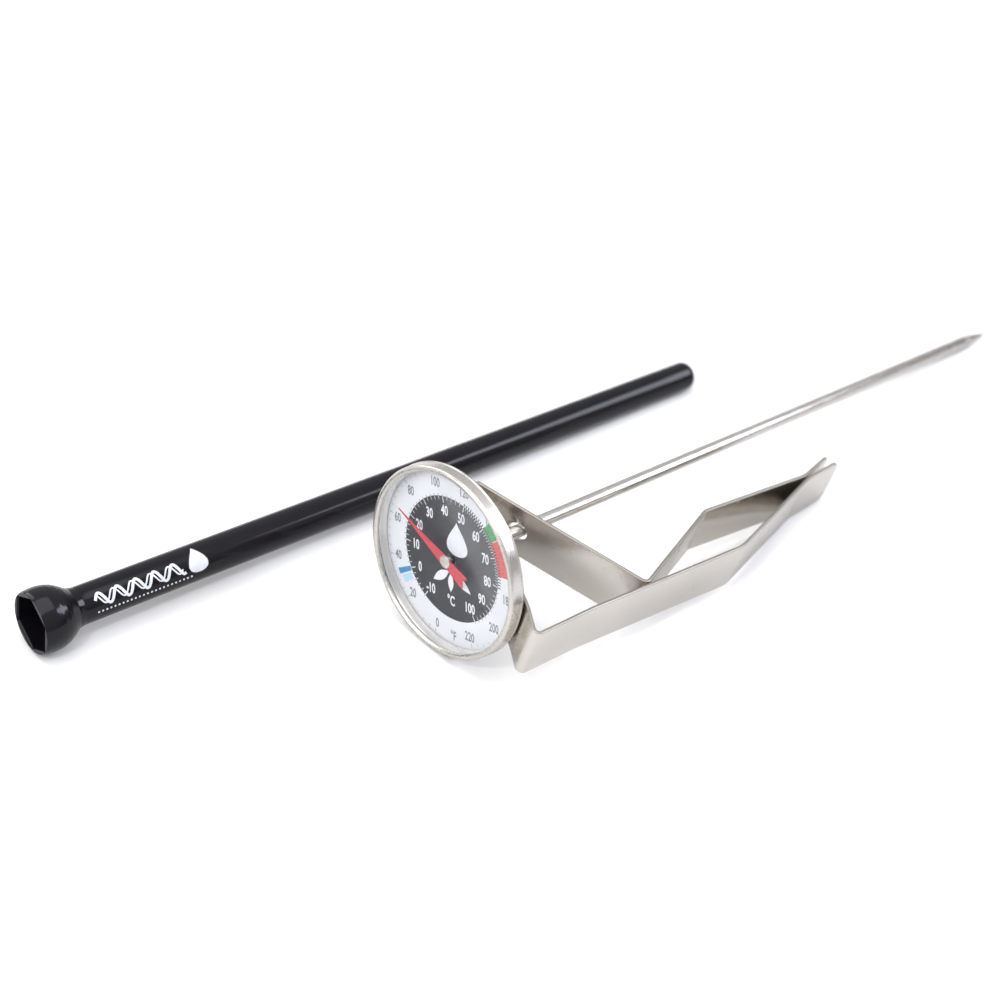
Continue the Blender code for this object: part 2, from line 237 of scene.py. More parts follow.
bezel_steel = steel("bezel_steel_turned", (0.70, 0.67, 0.635), (0.58, 0.55, 0.515),
                    roughness=0.27, stretch=(1, 1, 9), grain_scale=900.0, smudge=0.08, specks=0.25)
# Darker than the other steels: painted shade for the case, whose back faces away from the light
# and darkens the clip's leg that mirrors it.
case_steel = steel("case_steel_painted_shade", (0.47, 0.43, 0.39), (0.36, 0.325, 0.29),
                   roughness=0.28, stretch=(1, 1, 8), grain_scale=800.0, smudge=0.08)
strip_steel = steel("strip_steel_rolled", (0.70, 0.665, 0.62), (0.60, 0.565, 0.515),
                    roughness=0.215, stretch=(0.9, 0.12, 1.6), grain_scale=2600.0,
                    smudge=0.09, specks=0.60)
# The strip's edges and their rounded corners: a darker steel that paints a dark line of shade
# along them where the edges would catch a highlight; it is rougher too.
strip_edge = steel("strip_edge_steel_painted_shade", (0.40, 0.375, 0.34), (0.28, 0.26, 0.23),
                   roughness=0.38, stretch=(1.4, 0.4, 0.4), grain_scale=1800.0, smudge=0.12)
stem_steel = steel("stem_steel_drawn", (0.60, 0.58, 0.55), (0.53, 0.51, 0.48),
                   roughness=0.25, stretch=(2.0, 2.0, 0.05), grain_scale=2400.0, smudge=0.05)
nut_steel = steel("nut_steel_plated", (0.62, 0.61, 0.59), (0.52, 0.51, 0.49),
                  roughness=0.24, stretch=(1, 1, 6), grain_scale=700.0, smudge=0.08)
ring_grey = plain("sealing_ring_satin", (0.84, 0.825, 0.80), (0.77, 0.755, 0.73),
                  roughness=0.23, metallic=0.72, scale=160.0, bump=0.01)
dial_white = plain("dial_white_lacquer", (0.79, 0.81, 0.85), (0.75, 0.775, 0.82),
                   roughness=0.34, scale=260.0, distance=0.00003, coat=0.2)
black_ink = ink("dial_black_ink", (0.026, 0.027, 0.033), (0.036, 0.037, 0.045),
                roughness=0.38, bump=0.05)
grey_ink = ink("dial_grey_ink", (0.17, 0.19, 0.20), (0.22, 0.24, 0.25), roughness=0.42)
pale_ink = ink("dial_pale_ink", (0.80, 0.82, 0.87), (0.72, 0.74, 0.80))
green_ink = ink("dial_green_ink", (0.030, 0.300, 0.085), (0.040, 0.335, 0.105))
red_ink = ink("dial_red_ink", (0.66, 0.075, 0.075), (0.60, 0.060, 0.062))
blue_ink = ink("dial_blue_ink", (0.055, 0.23, 0.48), (0.070, 0.27, 0.52))
sky_ink = ink("dial_sky_ink", (0.42, 0.64, 0.80), (0.48, 0.68, 0.83))
red_enamel = plain("pointer_red_enamel", (0.60, 0.045, 0.070), (0.52, 0.035, 0.055),
                   roughness=0.30, scale=500.0, bump=0.06, distance=0.00003, coat=0.4)
hub_metal = plain("pointer_hub_plated", (0.74, 0.72, 0.68), (0.60, 0.58, 0.54),
                  roughness=0.26, metallic=0.90, scale=600.0)
brass = plain("brass_plain", (0.72, 0.55, 0.28), (0.62, 0.46, 0.22),
              roughness=0.30, metallic=1.0, scale=300.0)
bimetal = plain("bimetal_strip", (0.45, 0.40, 0.34), (0.36, 0.31, 0.26),
                roughness=0.35, metallic=1.0, scale=400.0)
guide_plastic = plain("guide_plastic", (0.85, 0.85, 0.82), (0.78, 0.78, 0.75),
                      roughness=0.55, scale=300.0)
sheath_ink = plain("sheath_white_ink", (0.72, 0.74, 0.79), (0.60, 0.62, 0.68),
                   roughness=0.42, scale=900.0, bump=0.08, distance=0.00003)
black_plastic = moulded_black()
lens_glass = clear_glass()


# ---- mesh helpers ---------------------------------------------------------------------
def link_object(made):
    bpy.context.scene.collection.objects.link(made)


def put(name, mesh, matrix, mat, body, replaces=None, angle=None):
    """Adds a piece. Without an angle it is shaded flat, else smooth up to that angle."""
    made = bpy.data.objects.new(name, mesh)
    made.matrix_world = matrix
    link_object(made)
    if mat is not None:
        mesh.materials.append(mat)
    if angle is not None:
        mesh.shade_smooth()
        mesh.set_sharp_from_angle(angle=math.radians(angle))
    if body:
        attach(made, body)
    if replaces:
        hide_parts(replaces)
    return made


def new_mesh(name, bm):
    mesh = bpy.data.meshes.new(name)
    bm.to_mesh(mesh)
    bm.free()
    return mesh


def baked(holder):
    """The evaluated mesh of a helper object, which is then removed."""
    graph = bpy.context.evaluated_depsgraph_get()
    mesh = bpy.data.meshes.new_from_object(holder.evaluated_get(graph))
    bpy.data.objects.remove(holder)
    return mesh


def fillet(points, steps, closed=False):
    """points are (x, y, radius). Each corner with a radius becomes an arc."""
    out = []
    count = len(points)
    for i, (x, y, radius) in enumerate(points):
        here = Vector((x, y))
        if radius <= 0 or (not closed and i in (0, count - 1)):
            out.append(here)
            continue
        before = Vector(points[i - 1][:2]) - here
        after = Vector(points[(i + 1) % count][:2]) - here
        longest = min(before.length, after.length) * 0.49
        before.normalize()
        after.normalize()
        angle = before.angle(after)
        if angle > math.pi - 0.02:                     # as good as straight
            out.append(here)
            continue
        reach = min(radius / math.tan(angle / 2), longest)
        real = reach * math.tan(angle / 2)
        middle = here + (before + after).normalized() * (real / math.sin(angle / 2))
        first = here + before * reach - middle
        last = here + after * reach - middle
        sweep = first.angle_signed(last)
        out += [middle + Matrix.Rotation(-sweep * k / steps, 2) @ first
                for k in range(steps + 1)]
    return out


def polar_ring(radius_at, z, count):
    angles = [2 * math.pi * k / count for k in range(count)]
    return [(radius_at(a) * math.cos(a), radius_at(a) * math.sin(a), z) for a in angles]


def round_ring(radius, z, count):
    """A circle of points, or a single one on the axis."""
    if radius < 1e-6:
        return [(0.0, 0.0, z)]
    return polar_ring(lambda a: radius, z, count)


def hex_ring(across, limit, z, count):
    """A hexagon, this far across its flats, whose corners are cut at the limit radius."""
    def radius_at(a):
        off_flat = (a + math.pi / 2) % (math.pi / 3) - math.pi / 6
        return min(across / 2 / math.cos(off_flat), limit)
    return polar_ring(radius_at, z, count)


def ring_mesh(name, rings, closed=False):
    """Skins rings of points, in mm, one to the next; closed joins the last to the first."""
    bm = bmesh.new()
    made = [[bm.verts.new((x * MM, y * MM, z * MM)) for x, y, z in ring] for ring in rings]
    for a, b in zip(made, made[1:] + (made[:1] if closed else [])):
        count = max(len(a), len(b))
        for k in range(count):
            n = (k + 1) % count
            if len(a) == 1:
                bm.faces.new((a[0], b[k], b[n]))
            elif len(b) == 1:
                bm.faces.new((a[k], b[0], a[n]))
            else:
                bm.faces.new((a[k], b[k], b[n], a[n]))
    bmesh.ops.recalc_face_normals(bm, faces=bm.faces)
    return new_mesh(name, bm)


def lathe_mesh(name, profile, segments, closed=False):
    """Revolves (radius, z) points round Z."""
    return ring_mesh(name, [round_ring(r, z, segments) for r, z in profile], closed)


def turned(name, corners, steps, segments, mat, body, replaces, closed=True, angle=40):
    """A turned piece on the stem's axis, from (radius, z, corner radius) in mm."""
    profile = fillet(corners, steps, closed)
    mesh = lathe_mesh(name, profile, segments, closed)
    put(name, mesh, STEM, mat, body, replaces, angle)


def flat_mesh(name, loops, low, high):
    """A filled outline (first loop) with holes, from low to high along Z, in mm."""
    curve = bpy.data.curves.new(name + "_outline", "CURVE")
    curve.dimensions = "2D"
    curve.fill_mode = "BOTH"
    curve.extrude = (high - low) / 2 * MM
    for loop in loops:
        spline = curve.splines.new("POLY")
        spline.points.add(len(loop) - 1)
        for point, (x, y) in zip(spline.points, loop):
            point.co = (x * MM, y * MM, 0, 1)
        spline.use_cyclic_u = True
    holder = bpy.data.objects.new(name + "_outline", curve)
    link_object(holder)
    mesh = baked(holder)
    mesh.transform(Matrix.Translation((0, 0, (low + high) / 2 * MM)))
    bm = bmesh.new()
    bm.from_mesh(mesh)
    bmesh.ops.remove_doubles(bm, verts=bm.verts, dist=1e-7)
    bmesh.ops.recalc_face_normals(bm, faces=bm.faces)
    bm.to_mesh(mesh)
    bm.free()
    mesh.name = name
    return mesh


def join(name, meshes):
    bm = bmesh.new()
    for mesh in meshes:
        bm.from_mesh(mesh)
    return new_mesh(name, bm)


# ---- flat outlines, as lists of (x, y) in mm ------------------------------------------
def at(angle, radius):
    """A point on the dial: angle in degrees clockwise from straight up, from the front."""
    a = math.radians(angle)
    return (radius * math.sin(a), radius * math.cos(a))


def sector(start, end, inner, outer):
    n = int(end - start) + 1
    there = [at(start + (end - start) * i / n, outer) for i in range(n + 1)]
    back = [at(end + (start - end) * i / n, inner) for i in range(n + 1)]
    return there + back


def bar(angle, inner, outer, width):
    a = math.radians(angle)
    dx, dy = math.cos(a) * width / 2, -math.sin(a) * width / 2
    (x0, y0), (x1, y1) = at(angle, inner), at(angle, outer)
    return [(x0 - dx, y0 - dy), (x1 - dx, y1 - dy), (x1 + dx, y1 + dy), (x0 + dx, y0 + dy)]


def circle(radius, count, cx=0.0, cy=0.0):
    angles = [2 * math.pi * i / count for i in range(count)]
    return [(cx + radius * math.cos(a), cy + radius * math.sin(a)) for a in angles]


def moved(points, degrees, cx=0.0, cy=0.0):
    """Turns points anticlockwise round the origin, then shifts them."""
    c, s = math.cos(math.radians(degrees)), math.sin(math.radians(degrees))
    return [(cx + c * x - s * y, cy + s * x + c * y) for x, y in points]


def drop(cx, cy, size):
    """A drop: round below, drawn to a point above."""
    count = 56
    angles = [2 * math.pi * i / count for i in range(count)]
    return [(cx + size * 0.58 * math.sin(t) * math.sin(t / 2) ** 1.6,
             cy + size * 0.5 * math.cos(t)) for t in angles]


def leaf(cx, cy, length, width, degrees):
    """A pointed leaf; width is from its midline to its edge."""
    n = 20
    edge = [(length * i / n, width * math.sin(math.pi * i / n)) for i in range(n)]
    back = [(length * (n - i) / n, -width * math.sin(math.pi * i / n)) for i in range(n)]
    return moved(edge + back, degrees, cx, cy)


def ribbon(points, width):
    """A band of even width along a line of points."""
    left, right = [], []
    for i, (x, y) in enumerate(points):
        before = points[max(0, i - 1)]
        after = points[min(len(points) - 1, i + 1)]
        d = Vector((after[0] - before[0], after[1] - before[1])).normalized()
        left.append((x - d.y * width / 2, y + d.x * width / 2))
        right.append((x + d.y * width / 2, y - d.x * width / 2))
    return left + right[::-1]


# ---- bezel, seal, lens, case ----------------------------------------------------------
# Profiles of turned pieces: (radius, z, corner radius). Lower z is nearer the reader.
LENS_THICK = 0.24
BEZEL = [
    (21.72, 2.00, 0.0), (21.72, 2.66, 0.03), (22.02, 2.68, 0.14), (22.08, 2.30, 0.12),
    (21.95, 2.02, 0.10), (22.00, 0.30, 0.6), (21.99, -0.42, 0.60), (21.60, -0.80, 0.45),
    (21.05, -0.80, 0.50), (20.60, -0.50, 0.22), (20.58, -0.06, 0.04), (21.60, -0.06, 0.04),
    (21.72, 0.05, 0.03),
]
SEAL = [
    (21.38, 0.46, 0.03), (21.00, 0.46, 0.10), (20.82, 1.00, 0.3), (20.50, 2.00, 0.2),
    (20.45, 2.28, 0.04), (20.98, 2.28, 0.02), (20.98, 1.30, 0.02), (21.38, 1.26, 0.03),
]
LENS = [
    (0.0, LENS_THICK, 0.0), (21.40, LENS_THICK, 0.05), (21.40, 0.00, 0.05), (0.0, 0.00, 0.0),
]
CASE = [
    # outside, from the hole to the rim
    (3.1, 6.40, 0.05), (4.9, 6.40, 0.15), (5.1, 6.32, 0.15), (5.3, 6.40, 0.15),
    (10.4, 6.40, 0.8), (11.4, 6.20, 0.8), (15.2, 4.98, 0.3), (15.5, 4.80, 0.2),
    (15.9, 4.76, 0.3), (19.3, 3.72, 1.2), (20.6, 3.28, 0.9), (21.25, 2.85, 0.5),
    (21.42, 2.45, 0.3), (21.42, 1.45, 0.05),
    # inside, back to the hole
    (21.02, 1.45, 0.05), (21.02, 2.40, 0.2), (20.88, 2.66, 0.2), (20.40, 2.95, 0.5),
    (19.2, 3.33, 0.8), (11.3, 5.82, 0.6), (10.3, 6.0, 0.5), (3.1, 6.0, 0.05),
]
turned("bezel_ring", BEZEL, steps=6, segments=192, mat=bezel_steel,
       body="head", replaces="bezel")
turned("lens_seal", SEAL, steps=3, segments=160, mat=ring_grey,
       body="head", replaces="lens_gasket")
turned("lens_disc", LENS, steps=3, segments=160, mat=lens_glass,
       body="head", replaces="lens", closed=False)
turned("case_shell", CASE, steps=4, segments=160, mat=case_steel,
       body="head", replaces="case_back")

# ---- dial plate and its print ---------------------------------------------------------
DIAL_UP = 26.5                     # the dial is turned this far anticlockwise, from the front
DIAL_FACE = 2.43
DIAL_BACK = DIAL_FACE + 0.20
PLATE = [(1.2, DIAL_BACK, 0.0), (20.7, DIAL_BACK, 0.03), (20.7, DIAL_FACE, 0.04),
         (1.2, DIAL_FACE, 0.03)]
turned("dial_disc", PLATE, steps=2, segments=192, mat=dial_white,
       body="head", replaces="dial_plate", angle=30)

# How far each layer of print starts in front of the plate.
ON_WHITE, ON_WHITE_ZONE, ON_BLACK = 0.002, 0.004, 0.016
DISC_R = 14.38
TICK_END_R = 14.34                 # outer end of the pale ticks on the disc
COMB_R = 14.36                     # inner end of the black ticks outside the disc
OUTER_TICK_R = 20.15


def celsius(t):
    """The dial angle of a temperature on the inner scale."""
    return 217.8 + 2.67 * t


def fahrenheit(t):
    """The dial angle of a temperature on the outer scale."""
    return 170.3 + 1.4832 * t


def printed(name, shapes, mat, lift, thickness):
    """Flat prints as one piece on the dial. Each shape is an outline and its holes."""
    parts = [flat_mesh(name + str(i), loops, 0.0, thickness) for i, loops in enumerate(shapes)]
    put(name, join(name, parts), face(DIAL_FACE - lift), mat, "head")


def ticks(temperatures, scale, inner, outer, width):
    return [[bar(scale(t), inner, outer, width)] for t in temperatures]


printed("dial_black_disc", [[circle(DISC_R, 160), circle(1.25, 40)]], black_ink,
        lift=0.0, thickness=0.014)
tens = range(-10, 101, 10)
twos = [t for t in range(-10, 101, 2) if t % 10]
printed("dial_ticks_inner",
        ticks(tens, celsius, inner=12.90, outer=TICK_END_R, width=0.20)
        + ticks(twos, celsius, inner=13.50, outer=TICK_END_R, width=0.12)
        + ticks(range(51, 80, 2), celsius, inner=13.70, outer=TICK_END_R, width=0.11),
        pale_ink, lift=ON_BLACK, thickness=0.008)
thin_comb = [*range(-10, 50, 2), *range(80, 101, 2)]
printed("dial_comb",
        ticks(thin_comb, celsius, inner=COMB_R, outer=14.85, width=0.13)
        + ticks(range(50, 60), celsius, inner=COMB_R, outer=15.15, width=0.30),
        black_ink, lift=ON_WHITE, thickness=0.008)
twenties = range(0, 221, 20)
fours = [t for t in range(0, 221, 4) if t % 20]
printed("dial_ticks_outer",
        ticks(fours, fahrenheit, inner=19.45, outer=OUTER_TICK_R, width=0.075)
        + ticks(twenties, fahrenheit, inner=19.15, outer=OUTER_TICK_R, width=0.14),
        grey_ink, lift=ON_WHITE, thickness=0.008)


def zone(name, mat, start, end, inner, outer):
    """A coloured sector between two dial angles."""
    printed(name, [[sector(start, end, inner, outer)]], mat, lift=ON_WHITE_ZONE, thickness=0.010)


zone("dial_zone_green", green_ink, start=celsius(60), end=celsius(65), inner=14.45, outer=17.85)
zone("dial_zone_red", red_ink, start=celsius(65.15), end=celsius(76), inner=14.45, outer=17.75)
printed("dial_zone_teeth",
        ticks(range(60, 81), celsius, inner=COMB_R, outer=15.25, width=0.28),
        black_ink, lift=ON_BLACK, thickness=0.006)
zone("dial_mark_blue", blue_ink, start=215.4, end=219.6, inner=14.55, outer=18.9)
zone("dial_mark_sky", sky_ink, start=208.6, end=214.2, inner=15.0, outer=18.3)


def numbers(name, labels, mat, lift, size, narrow, bold):
    """Labels (text, angle, radius), all upright with the dial, as one flat piece."""
    half_height = 0.36             # from baseline to mid-height, as a share of the size
    parts = []
    for text, angle, radius in labels:
        curve = bpy.data.curves.new("number", "FONT")
        curve.body = text
        curve.size = size * MM
        curve.align_x = "CENTER"
        curve.offset = bold * MM
        curve.extrude = 0.004 * MM
        curve.resolution_u = 3
        holder = bpy.data.objects.new("number", curve)
        link_object(holder)
        mesh = baked(holder)
        x, y = at(angle, radius)
        mesh.transform(Matrix.Translation((x * MM, y * MM, 0.006 * MM)) @ turn(DIAL_UP, "Z")
                       @ Matrix.Diagonal((narrow, 1, 1, 1))
                       @ Matrix.Translation((0, -size * half_height * MM, 0)))
        parts.append(mesh)
    put(name, join(name, parts), face(DIAL_FACE - lift), mat, "head")


numbers("dial_numbers_c", [(str(t), celsius(t), 11.2) for t in tens] + [("°C", 156.0, 9.9)],
        pale_ink, lift=ON_BLACK - 0.001, size=3.25, narrow=0.66, bold=0.085)
numbers("dial_numbers_f",
        [(str(t), fahrenheit(t), 17.55) for t in twenties] + [("°F", 153.5, 18.3)],
        grey_ink, lift=ON_WHITE, size=3.05, narrow=0.64, bold=0.065)

# A pale drop over three small leaves, on the dark disc. The drop stays clear of the centre hole.
LEAVES = [
    # x, y, length, half width, direction in degrees
    (0.2, -3.0, 6.6, 1.05, -32),
    (-0.8, -3.0, 6.2, 1.05, -145),
    (-0.3, -3.4, 4.6, 0.85, -92),
]
printed("dial_drop", [[moved(drop(1.9, 5.2, size=8.0), DIAL_UP)]], pale_ink,
        lift=ON_BLACK, thickness=0.008)
printed("dial_leaves", [[moved(leaf(*row), DIAL_UP)] for row in LEAVES], pale_ink,
        lift=ON_BLACK, thickness=0.008)

# ---- pointer --------------------------------------------------------------------------
POINTER_ANGLE = 273.0              # clockwise from straight up, from the front
POINTER_DEPTH = 0.62
POINTER_HALF_THICK = 0.07
# (along, across) from the tip to one corner of the tail, then the notch in the tail
POINTER_SIDE = [(16.6, 0.10), (12.0, 0.34), (7.0, 0.75), (3.0, 1.12), (1.6, 1.32), (0.0, 1.38),
                (-1.6, 1.28), (-6.6, 1.72)]
POINTER_NOTCH = [(-6.9, 1.45), (-6.0, 0.0), (-6.9, -1.45)]
HUB = [
    (0.0, 0.28, 0.0), (0.55, 0.285, 0.3), (0.95, 0.32, 0.2), (1.42, 0.38, 0.10),
    (1.55, 0.50, 0.04), (0.86, 0.52, 0.04), (0.86, 1.95, 0.03), (0.42, 1.95, 0.03),
    (0.42, 1.15, 0.0), (0.0, 1.15, 0.0),
]


def build_pointer():
    outline = POINTER_SIDE + POINTER_NOTCH + [(x, -y) for x, y in reversed(POINTER_SIDE)]
    mesh = flat_mesh("pointer_blade", [outline, circle(0.88, 32)],
                     -POINTER_HALF_THICK, POINTER_HALF_THICK)
    place = face(POINTER_DEPTH) @ turn(90.0 - POINTER_ANGLE, "Z")
    blade = put("pointer_blade", mesh, place, red_enamel, "pointer")
    edge = blade.modifiers.new("edge", "BEVEL")
    edge.width = 0.03 * MM
    edge.segments = 2
    edge.limit_method = "ANGLE"
    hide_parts("pointer")
    turned("pointer_cap", HUB, steps=4, segments=64, mat=hub_metal, body="pointer",
           replaces="pointer_hub", closed=False, angle=35)


build_pointer()

# ---- nut and stem ---------------------------------------------------------------------
RING_COUNT = 144                   # points round the nut and the sheath
NUT_ACROSS = 11.0
NUT_BORE_R = 1.6
NUT_SPIGOT = [(NUT_BORE_R, 5.0), (2.62, 5.0), (2.7, 5.08), (2.7, 6.7)]      # (radius, z)
NUT_END = [(1.85, 8.80), (NUT_BORE_R, 8.70)]                                # (radius, z)
# (z, how far the turned chamfer cuts in from the corners); a negative cut leaves them whole
NUT_CHAMFER = [
    (6.70, 0.62), (6.73, 0.52), (6.85, 0.24), (6.99, 0.02), (7.05, -1),
    (8.40, -1), (8.47, 0.02), (8.64, 0.34), (8.77, 0.62), (8.80, 0.72),
]
STEM_R, STEM_BORE_R = 1.50, 1.22
TUBE_START, TUBE_END = 5.30, 179.0
TUBE = [(STEM_BORE_R, TUBE_START, 0.02), (STEM_R, TUBE_START, 0.05), (STEM_R, TUBE_END, 0.02),
        (STEM_BORE_R, TUBE_END, 0.02)]
TIP = [
    (0.0, 176.5, 0.0), (1.12, 176.5, 0.05), (1.12, 179.2, 0.02), (STEM_R, 179.25, 0.06),
    (1.40, 180.6, 2.5), (1.02, 182.9, 2.5), (0.60, 185.5, 2.5), (0.20, 187.55, 0.2),
    (0.0, 187.90, 0.0),
]


def nut_mesh():
    """A hexagon with its corners rounded off at both ends, and a round spigot by the case."""
    corner = NUT_ACROSS / 2 / math.cos(math.pi / 6)
    rings = [round_ring(r, z, RING_COUNT) for r, z in NUT_SPIGOT]
    rings += [hex_ring(NUT_ACROSS, corner - cut, z, RING_COUNT) for z, cut in NUT_CHAMFER]
    rings += [round_ring(r, z, RING_COUNT) for r, z in NUT_END]
    return ring_mesh("calibration_nut", rings, closed=True)


put("calibration_nut", nut_mesh(), STEM, nut_steel, "nut", "hex_nut", angle=30)
turned("probe_tube", TUBE, steps=2, segments=96, mat=stem_steel,
       body="stem", replaces="stem_tube")
turned("probe_tip", TIP, steps=4, segments=96, mat=stem_steel,
       body="stem", replaces="stem_tip", closed=False)

# ---- the clip -------------------------------------------------------------------------
# One strip, folded at APEX, in the thermometer's X-Y plane with its width along Z.
STRIP_WIDTH, STRIP_THICK = 12.7, 0.8
STRIP_EDGE_R = 0.22
END_CORNER = 2.4                   # corner radius of the strip's free ends, seen flat
STATION = 1.2                      # longest wanted step between stations is about this
HOLE_R = 2.2
APEX = Vector((-13.0, 17.5))
SEAM, SEAM_END = 4.0, 11.0         # the flexing part, measured from APEX along the inner arm
# Middle line of each arm away from the fold: (x, y, bend radius)
OUTER_ARM = [(21.8, 3.55, 18.0), (28.75, -0.45, 1.1), (28.5, 16.9, 25.0), (30.0, 63.2, 10.0),
             (21.1, 94.4, 12.0), (20.1, 106.4, 0.0)]
INNER_ARM = [(28.4, 33.8, 1.4), (17.9, 62.5, 2.5), (20.0, 94.6, 6.0), (17.5, 105.4, 0.0)]
to_inner = (Vector(INNER_ARM[0][:2]) - APEX).normalized()


def from_apex(distance):
    return APEX + to_inner * distance


def strip_line(corners):
    """Middle line of the strip through rounded corners, with close stations."""
    raw = fillet(corners, steps=10)
    out = [raw[0]]
    for a, b in zip(raw, raw[1:]):
        length = (b - a).length
        if length < 1e-4:
            continue
        pieces = max(1, int(length / STATION))
        out += [a.lerp(b, k / pieces) for k in range(1, pieces + 1)]
    return out


def strip_mesh(name, line, free_end):
    """Sweeps a flat section with rounded edges along the line; a free end has round corners."""
    end = line[-1]
    if free_end:
        inward = (line[-2] - end).normalized()
        line = [p for p in line if (p - end).length > END_CORNER]
        line += [end + inward * END_CORNER * (1 - math.sin(math.radians(t)))
                 for t in range(0, 91, 9)]
    steps = [(b - a).normalized() for a, b in zip(line, line[1:])]
    bends = [(after + before).normalized() for before, after in zip(steps, steps[1:])]
    bm = bmesh.new()
    rings = []
    for p, along in zip(line, [steps[0], *bends, steps[-1]]):
        side = Vector((-along.y, along.x))
        half_width = STRIP_WIDTH / 2
        if free_end:
            short = max(0.0, END_CORNER - (p - end).length)
            half_width = (STRIP_WIDTH / 2 - END_CORNER
                          + math.sqrt(max(0.0, END_CORNER ** 2 - short ** 2)))
        ring = []
        for sign_t, sign_w, base in ((1, 1, 0), (-1, 1, 90), (-1, -1, 180), (1, -1, 270)):
            for k in range(4):
                a = math.radians(base + 30 * k)
                t = sign_t * (STRIP_THICK / 2 - STRIP_EDGE_R) + STRIP_EDGE_R * math.cos(a)
                w = sign_w * (half_width - STRIP_EDGE_R) + STRIP_EDGE_R * math.sin(a)
                q = p + side * t
                ring.append(bm.verts.new((q.x * MM, q.y * MM, w * MM)))
        rings.append(ring)
    count = len(rings[0])
    for a, b in zip(rings, rings[1:]):
        for k in range(count):
            n = (k + 1) % count
            quad = bm.faces.new((a[k], a[n], b[n], b[k]))
            # 7 and 15 are the two wide sides, the rest is the edge, in the darker steel that
            # paints shade along it
            quad.material_index = 0 if k % 8 == 7 else 1
    bm.faces.new(rings[0])
    bm.faces.new(rings[-1])
    bmesh.ops.triangulate(bm, faces=bm.faces)
    bmesh.ops.recalc_face_normals(bm, faces=bm.faces)
    mesh = bpy.data.meshes.new(name)
    mesh.materials.append(strip_steel)
    mesh.materials.append(strip_edge)
    bm.to_mesh(mesh)
    bm.free()
    return mesh


def with_hole(mesh):
    """Drills the stem's hole through this arm of the strip."""
    holder = bpy.data.objects.new("strip_holder", mesh)
    holder.matrix_world = THERMO
    start, end = 5.0, 32.0         # reach of the drill along the stem
    profile = [(0.0, start), (HOLE_R, start), (HOLE_R, end), (0.0, end)]
    drill = bpy.data.objects.new("strip_drill", lathe_mesh("drill", profile, 96))
    drill.matrix_world = STEM
    link_object(holder)
    link_object(drill)
    cut = holder.modifiers.new("hole", "BOOLEAN")
    cut.object = drill
    cut.solver = "EXACT"
    bpy.context.view_layer.update()
    out = baked(holder)
    bpy.data.objects.remove(drill)
    bm = bmesh.new()
    bm.from_mesh(out)
    bmesh.ops.remove_doubles(bm, verts=bm.verts, dist=0.002 * MM)
    bmesh.ops.dissolve_degenerate(bm, edges=bm.edges, dist=0.002 * MM)
    bmesh.ops.triangulate(bm, faces=bm.faces)
    bm.to_mesh(out)
    bm.free()
    return out


def build_clip():
    """The long arm with the fold, the short arm, and the flexing piece between them."""
    outer_line = strip_line([(*from_apex(SEAM), 0.0), (*APEX, 1.3)] + OUTER_ARM)
    spring_line = [from_apex(SEAM + (SEAM_END - SEAM) * k / 8) for k in range(9)]
    inner_line = strip_line([(*from_apex(SEAM_END), 0.0)] + INNER_ARM)
    outer = with_hole(strip_mesh("clip_long_arm", outer_line, free_end=True))
    spring = strip_mesh("clip_spring", spring_line, free_end=False)
    inner = with_hole(strip_mesh("clip_short_arm", inner_line, free_end=True))
    put("clip_long_arm", outer, THERMO, None, "clip", "clip_outer_arm", angle=38)
    put("clip_short_arm", inner, THERMO, None, "jaw", "clip_inner_arm", angle=38)
    spring.transform(THERMO)
    made = put("clip_spring", spring, Matrix.Identity(4), None, None, angle=38)
    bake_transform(made)


build_clip()

# ---- the sheath -----------------------------------------------------------------------
LENGTH, BULB_R, NECK_R, TAIL_R = 183.5, 7.4, 4.30, 3.45
TAIL_CAP = TAIL_R * 0.8            # length of the rounded end
TUBE_STATIONS = (172, 160, 145, 130, 115, 100, 85, 70, 55, 40, 30, 22, 17, 13.5)
BULB = [
    # radius, z, corner radius, from the neck to the mouth
    (4.34, 12.6, 0.0), (4.36, 11.3, 1.2), (4.72, 9.75, 1.5), (5.36, 8.8, 3.0),
    (6.12, 7.7, 3.0), (6.78, 6.4, 3.0), (7.22, 5.0, 4.0), (BULB_R, 3.5, 5.0),
    (7.38, 2.2, 4.0), (7.24, 0.75, 1.0), (7.02, 0.08, 0.25), (6.92, 0.0, 0.0),
]
SOCKET_LIMIT = 6.86                # the socket's corners are cut at this radius
# (across flats, z)
SOCKET = [(12.20, 0.0), (11.98, 0.16), (11.70, 0.55), (11.6, 1.0), (11.6, 4.85), (11.5, 5.0)]
BORE = [(2.35, 5.0), (2.1, 5.25), (2.1, 60.0), (2.1, 176.0), (0.0, 178.0)]  # (radius, z)


def tail_radius(z):
    return NECK_R + (TAIL_R - NECK_R) * (z - 20.0) / (LENGTH - 25.0)


def sheath_mesh():
    """Tail to mouth down the outside, over the rim, then the hexagon socket and the bore."""
    outer = [(0.0, LENGTH)]
    for degrees in range(84, -1, -7):
        a = math.radians(degrees)
        outer.append((TAIL_R * math.cos(a), LENGTH - TAIL_CAP + TAIL_CAP * math.sin(a)))
    outer += [(tail_radius(z), z) for z in TUBE_STATIONS]
    outer += fillet(BULB, steps=4)
    rings = [round_ring(r, z, RING_COUNT) for r, z in outer]
    rings += [hex_ring(across, SOCKET_LIMIT, z, RING_COUNT) for across, z in SOCKET]
    rings += [round_ring(r, z, RING_COUNT) for r, z in BORE]
    return ring_mesh("sheath_body", rings)


put("sheath_body", sheath_mesh(), SHEATH, black_plastic, "sheath", "sheath",
    angle=32)

PRINT_ANGLE = 42.0                 # where round the tube the print's midline lies, in degrees
PRINT_LIFT = 0.012


